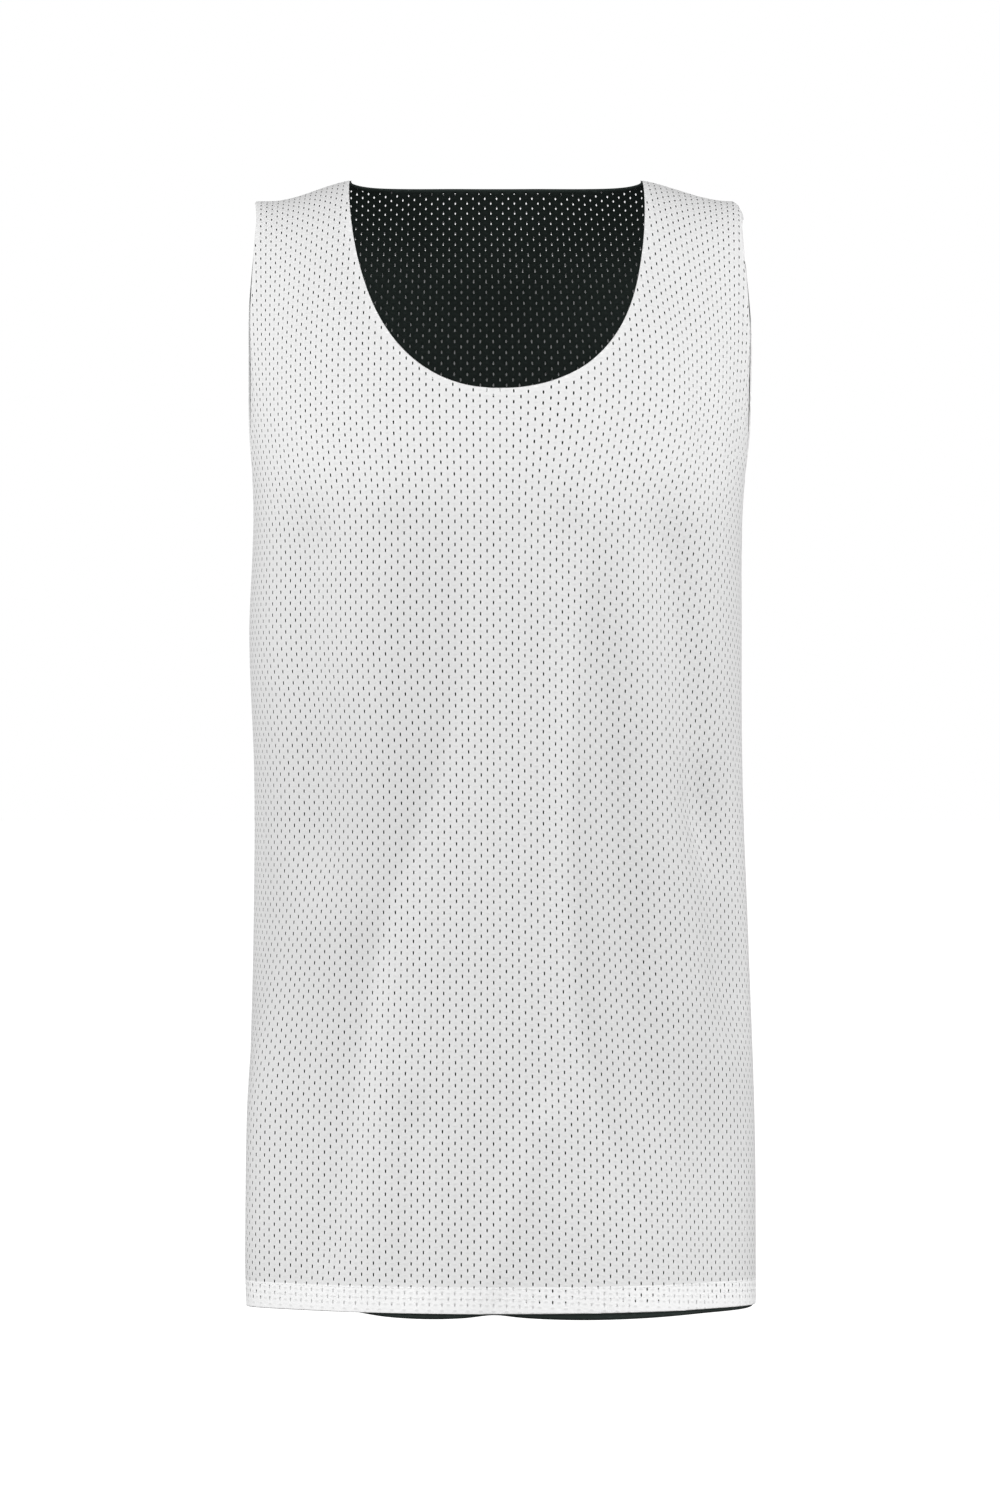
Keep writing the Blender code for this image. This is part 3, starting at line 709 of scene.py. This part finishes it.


# Knit polyester, matt with a soft sheen. The white knit carries a painted highlight round
# each hole, where the raised rims catch light, and the dark knit is a little darker there.
# Each cell has a tight bar of courses half way between two holes of a row. The white knit's
# flanks carry painted shade, where the body turns from the light. Where the cloth is double,
# less of the other ply shows through.
def knit_material(name, single, flank_shade_colour, double, beside_hole, bar, roughness, sheen):
    material = bpy.data.materials.new(name)
    material.use_nodes = True
    tree = material.node_tree
    shader = tree.nodes["Principled BSDF"]
    uv = add_node(tree, "ShaderNodeUVMap", {"uv_map": "knit"})
    place = add_node(tree, "ShaderNodeTexCoord")

    # Waves of the lattice: 1 at a hole, -1 half way between two holes of a row.
    turns = add_node(tree, "ShaderNodeVectorMath", {"operation": "SCALE"},
                     {0: uv.outputs[0], "Scale": math.pi})
    waves = add_node(tree, "ShaderNodeVectorMath", {"operation": "COSINE"},
                     {0: turns.outputs[0]})
    wave = add_node(tree, "ShaderNodeSeparateXYZ", None, {0: waves.outputs[0]})
    up_cubed = add_node(tree, "ShaderNodeMath", {"operation": "POWER"},
                        {0: wave.outputs[1], 1: 3.0})
    lattice = add_node(tree, "ShaderNodeMath", {"operation": "MULTIPLY"},
                       {0: wave.outputs[0], 1: up_cubed.outputs[0]})
    near = add_node(tree, "ShaderNodeMapRange", {"interpolation_type": "SMOOTHSTEP"},
                    {"Value": lattice.outputs[0], **BESIDE_HOLE})
    between = add_node(tree, "ShaderNodeMapRange", {"interpolation_type": "SMOOTHSTEP"},
                       {"Value": lattice.outputs[0], **BETWEEN_HOLES})

    # Doubled cloth: whole in the hem, and a small share in the narrow allowances.
    cover = add_node(tree, "ShaderNodeAttribute", {"attribute_name": "cover"})
    covers = add_node(tree, "ShaderNodeSeparateXYZ", None, {0: cover.outputs["Vector"]})
    in_hem = add_node(tree, "ShaderNodeMapRange", None,
                      {"Value": covers.outputs[0], **IN_HEM})
    in_seam = add_node(tree, "ShaderNodeMapRange", None,
                       {"Value": covers.outputs[1], **IN_SEAM})
    doubled = add_node(tree, "ShaderNodeMath", {"operation": "MAXIMUM"},
                       {0: in_hem.outputs[0], 1: in_seam.outputs[0]})

    # Painted highlight: the white knit turns lighter beside each hole, where the raised rim
    # would catch light. The dark knit turns a little darker there.
    colour = add_node(tree, "ShaderNodeMix", {"data_type": "RGBA"},
                      {"Factor": near.outputs[0], "A": linear(single),
                       "B": linear(beside_hole)})
    # Painted shade: the white knit darkens on its flanks, where the body turns from the light.
    # The dark knit's colour here is white, which leaves it as it is.
    through = add_node(tree, "ShaderNodeMix", {"data_type": "RGBA"},
                       {"Factor": covers.outputs[2], "A": linear("#FFFFFF"),
                        "B": linear(flank_shade_colour)})
    colour = add_node(tree, "ShaderNodeMix", {"data_type": "RGBA", "blend_type": "MULTIPLY"},
                      {"Factor": 1.0, "A": colour.outputs["Result"],
                       "B": through.outputs["Result"]})
    colour = add_node(tree, "ShaderNodeMix", {"data_type": "RGBA"},
                      {"Factor": doubled.outputs[0], "A": colour.outputs["Result"],
                       "B": linear(double)})
    colour = add_node(tree, "ShaderNodeMix", {"data_type": "RGBA"},
                      {"Factor": between.outputs[0], "A": colour.outputs["Result"],
                       "B": linear(bar)})
    cloudy = add_node(tree, "ShaderNodeTexNoise", None,
                      {"Vector": place.outputs["Object"], "Scale": 1 / CLOUD_SIZE,
                       "Detail": 3.0})
    shade = add_node(tree, "ShaderNodeMapRange", None,
                     {"Value": cloudy.outputs[0], **CLOUD_SHADE})
    colour = add_node(tree, "ShaderNodeMix", {"data_type": "RGBA", "blend_type": "MULTIPLY"},
                      {"Factor": 1.0, "A": colour.outputs["Result"], "B": shade.outputs[0]})
    tree.links.new(colour.outputs["Result"], shader.inputs["Base Color"])

    # Relief: a shallow dimple round each hole, a slight pucker, and the hem's own thickness.
    pucker = add_node(tree, "ShaderNodeTexNoise", None,
                      {"Vector": place.outputs["Object"], "Scale": 1 / PUCKER_SIZE,
                       "Detail": 2.0})
    dimpled = add_node(tree, "ShaderNodeMath", {"operation": "MULTIPLY_ADD"},
                       {0: lattice.outputs[0], 1: DIMPLE, 2: pucker.outputs[0]})
    height = add_node(tree, "ShaderNodeMath", {"operation": "MULTIPLY_ADD"},
                      {0: in_hem.outputs[0], 1: HEM_STEP, 2: dimpled.outputs[0]})
    bump = add_node(tree, "ShaderNodeBump", None,
                    {"Height": height.outputs[0], "Strength": 1.0, "Distance": RELIEF})
    tree.links.new(bump.outputs[0], shader.inputs["Normal"])
    shader.inputs["Roughness"].default_value = roughness
    shader.inputs["Metallic"].default_value = 0.0
    shader.inputs["Sheen Weight"].default_value = sheen
    shader.inputs["Sheen Roughness"].default_value = 0.5
    shader.inputs["Specular IOR Level"].default_value = 0.25
    return material


# On the white knit the second colour is painted shade on the flanks, where the body turns from
# the light, and the fourth is a painted highlight round each hole.
white_knit = knit_material(
    "white_polyester_warp_knit", single="#E0E0E0", flank_shade_colour="#F3F3F3", double="#F2F2F2",
    beside_hole="#F0F0F0", bar="#D6D6D6", roughness=0.85, sheen=0.10)
dark_knit = knit_material(
    "green_black_polyester_warp_knit", single="#1D2623", flank_shade_colour="#FFFFFF", double="#1D2623",
    beside_hole="#181F1D", bar="#29322F", roughness=0.80, sheen=0.02)

# Each ply: the solid it dresses, its panel, its depths, its hem, its rows of holes, its cloth
# and the cloth's slot.
LAYERS = (
    ("outer_front", FRONT, WHITE_PLY, level_hem, WHITE_ROWS, white_knit, "white_mesh"),
    ("outer_back", BACK, WHITE_PLY, level_hem, WHITE_ROWS, white_knit, "white_mesh"),
    ("inner_front", FRONT, DARK_PLY, peeking_hem, DARK_FRONT_ROWS, dark_knit, "dark_mesh"),
    ("inner_back", BACK, DARK_PLY, short_hem, DARK_BACK_ROWS, dark_knit, "dark_mesh"),
)
for node, panel, ply, drop, rows, knit, slot in LAYERS:
    add_ply(f"{node}_ply", panel, ply, drop, rows, knit, node)


# ---------------------------------------------------------------------------------------
# Hem stitching. A twin needle holds each turned hem with two rows of polyester thread in
# the ply's own colour. Each stitch is a short length of thread, sunk into the cloth at its
# ends.
# ---------------------------------------------------------------------------------------
STITCH_ROWS = (0.0150, 0.0092)  # heights above the hem
STITCH_PITCH = 0.0032
STITCH_LENGTH = 0.0028
THREAD = 0.00034                # thickness of the thread
THREAD_PROUD = 0.00006          # its middle lies this far above the face
STITCH_SINK = 0.00025           # a stitch's ends go this deep
STITCH_END = 0.96               # where the first and the last ring are, towards the ends
STITCH_STEPS = 4                # rings along a stitch
THREAD_SIDES = 6
TWIST_SCALE = 1250.0            # a wave of this scale has bands 0.5 mm apart, as the yarns lie
GROOVE_DEPTH = 0.00005          # between two yarns of the thread


def add_stitching(name, panel, ply, drop, material):
    """Both rows of a ply's hem stitches.

    A stitch is a spindle: its radius goes by the root of 1 - t squared, and its depth by t
    squared, for t from -1 to 1 along it.
    """
    count = int(2 * HALF_WIDTH / STITCH_PITCH)
    middle = (np.arange(count) + 0.5) * STITCH_PITCH - count * STITCH_PITCH / 2
    t = np.linspace(-STITCH_END, STITCH_END, STITCH_STEPS)[:, None]
    round_thread = np.arange(THREAD_SIDES) * 2 * math.pi / THREAD_SIDES
    radius = THREAD / 2 * np.sqrt(1.0 - t * t)
    outwards = np.sign(ply["turned"] - ply["face"])
    row = np.array(STITCH_ROWS)[:, None, None, None]
    u = middle[:, None, None] + t * STITCH_LENGTH / 2 + 0.0 * round_thread
    v = row + hem_v(u, drop) + radius * np.sin(round_thread)
    out = radius * np.cos(round_thread) - STITCH_SINK * t * t + THREAD_PROUD
    depth = ply["face"] + ply["extra"] - outwards * out
    points = on_garment(panel, u + 0.0 * v, v, depth + 0.0 * v).reshape(-1, 3)

    ring = np.arange(STITCH_STEPS - 1)[:, None] * THREAD_SIDES
    side = np.arange(THREAD_SIDES)
    after = (side + 1) % THREAD_SIDES
    walls = np.stack((ring + side, ring + after, ring + THREAD_SIDES + after,
                      ring + THREAD_SIDES + side), -1).reshape(-1, 4)
    last = THREAD_SIDES * (STITCH_STEPS - 1)
    # Two quads close each six-sided end.
    caps = np.array(((0, 3, 2, 1), (0, 5, 4, 3), (0, 1, 2, 3), (0, 3, 4, 5)))
    caps[2:] += last
    stitch = np.vstack((walls, caps))
    first = np.arange(count * len(STITCH_ROWS)) * THREAD_SIDES * STITCH_STEPS
    faces = (first[:, None, None] + stitch).reshape(-1, 4)
    if panel["side"] * outwards < 0:
        faces = faces[:, ::-1]
    piece = add_mesh(name, points, faces)
    piece.data.materials.append(material)
    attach(piece, "root")
    return piece


# Spun polyester sewing thread, matt. Its twist shows as fine slanting bands, which are lower
# than the yarns between them and carry painted shade in the grooves.
def thread_material(name, colour, groove_shade):
    material = bpy.data.materials.new(name)
    material.use_nodes = True
    tree = material.node_tree
    shader = tree.nodes["Principled BSDF"]
    place = add_node(tree, "ShaderNodeTexCoord")
    twist = add_node(tree, "ShaderNodeTexWave", {"bands_direction": "DIAGONAL"},
                     {"Vector": place.outputs["Object"], "Scale": TWIST_SCALE,
                      "Distortion": 1.5})
    # Painted shade: the twist's grooves take the darker colour.
    yarn = add_node(tree, "ShaderNodeMix", {"data_type": "RGBA"},
                    {"Factor": twist.outputs["Fac"], "A": linear(groove_shade), "B": linear(colour)})
    bump = add_node(tree, "ShaderNodeBump", None,
                    {"Height": twist.outputs["Fac"], "Strength": 0.6,
                     "Distance": GROOVE_DEPTH})
    tree.links.new(yarn.outputs["Result"], shader.inputs["Base Color"])
    tree.links.new(bump.outputs[0], shader.inputs["Normal"])
    shader.inputs["Roughness"].default_value = 0.7
    shader.inputs["Sheen Weight"].default_value = 0.1
    return material


# The second colour of each thread is painted shade in its twist's grooves.
white_thread = thread_material("white_polyester_thread", "#F4F4F4", "#DCDCDC")
dark_thread = thread_material("green_black_polyester_thread", "#222C29", "#151B19")
threads = {"white_mesh": white_thread, "dark_mesh": dark_thread}
for node, panel, ply, drop, _, _, slot in LAYERS:
    add_stitching(f"{node}_hem_stitching", panel, ply, drop,
                                   threads[slot])


# ---------------------------------------------------------------------------------------
# Floor, lights and camera. A wide pale floor under an even white studio: a broad light
# above and in front, and one at each side.
# ---------------------------------------------------------------------------------------
FLOOR_Z = -0.80
FLOOR_HALF = 40.0
FLOOR_GLOW = 1.0            # the floor's own light, seen by the camera alone
STUDIO_FILL = 0.18          # the backdrop's light on the cloth
LIGHT_SIZE = 1.8            # side of each square light
CAMERA_DISTANCE = 4.34      # from the plane of the side seams
CAMERA_Z = -0.345
VIEW_HEIGHT = 0.93          # what the picture's height takes in at that plane
SENSOR_HEIGHT = 24.0

floor_points = np.array(((-1, -1, 0), (1, -1, 0), (1, 1, 0), (-1, 1, 0))) * FLOOR_HALF
floor = add_mesh("floor", floor_points + (0, 0, FLOOR_Z), np.array(((0, 1, 2, 3),)))
floor_paint = bpy.data.materials.new("lit_white_floor")
floor_paint.use_nodes = True
floor_shader = floor_paint.node_tree.nodes["Principled BSDF"]
floor_shader.inputs["Base Color"].default_value = linear("#9A9A9A")
floor_shader.inputs["Roughness"].default_value = 0.9
floor_shader.inputs["Emission Color"].default_value = linear("#FFFFFF")
seen_floor = add_node(floor_paint.node_tree, "ShaderNodeLightPath")
glow = add_node(floor_paint.node_tree, "ShaderNodeMath", {"operation": "MULTIPLY"},
                {0: seen_floor.outputs["Is Camera Ray"], 1: FLOOR_GLOW})
floor_paint.node_tree.links.new(glow.outputs[0], floor_shader.inputs["Emission Strength"])
floor.data.materials.append(floor_paint)

world = bpy.data.worlds.new("studio")
world.use_nodes = True
backdrop = world.node_tree.nodes["Background"]
backdrop.inputs["Color"].default_value = linear("#FFFFFF")
seen = add_node(world.node_tree, "ShaderNodeLightPath")
strength = add_node(world.node_tree, "ShaderNodeMapRange", None,
                    {"Value": seen.outputs["Is Camera Ray"],
                     "To Min": STUDIO_FILL, "To Max": 1.0})
world.node_tree.links.new(strength.outputs[0], backdrop.inputs["Strength"])
bpy.context.scene.world = world


def add_light(name, place, target, power):
    """A square area light that looks at a point."""
    light = bpy.data.lights.new(name, "AREA")
    light.size = LIGHT_SIZE
    light.energy = power
    lamp = bpy.data.objects.new(name, light)
    lamp.location = place
    lamp.rotation_euler = (Vector(target) - Vector(place)).to_track_quat("-Z", "Y").to_euler()
    bpy.context.scene.collection.objects.link(lamp)


middle = (0.0, SIDE_Y, CAMERA_Z)
add_light("front_light", (0.0, -3.79, 0.42), middle, 39.0)
for side, name in ((-1, "left"), (1, "right")):
    add_light(f"{name}_front_light", (side * 2.60, -2.64, 0.74), middle, 37.3)
    add_light(f"{name}_side_light", (side * 3.40, -0.80, 1.00), middle, 72.0)

camera_data = bpy.data.cameras.new("camera")
camera_data.sensor_fit = "VERTICAL"
camera_data.sensor_height = SENSOR_HEIGHT
camera_data.lens = SENSOR_HEIGHT * CAMERA_DISTANCE / VIEW_HEIGHT
camera = bpy.data.objects.new("camera", camera_data)
camera.location = (0.0, SIDE_Y - CAMERA_DISTANCE, CAMERA_Z)
camera.rotation_euler = (math.pi / 2, 0.0, 0.0)
bpy.context.scene.collection.objects.link(camera)
bpy.context.scene.camera = camera
bpy.context.scene.view_settings.view_transform = "Standard"
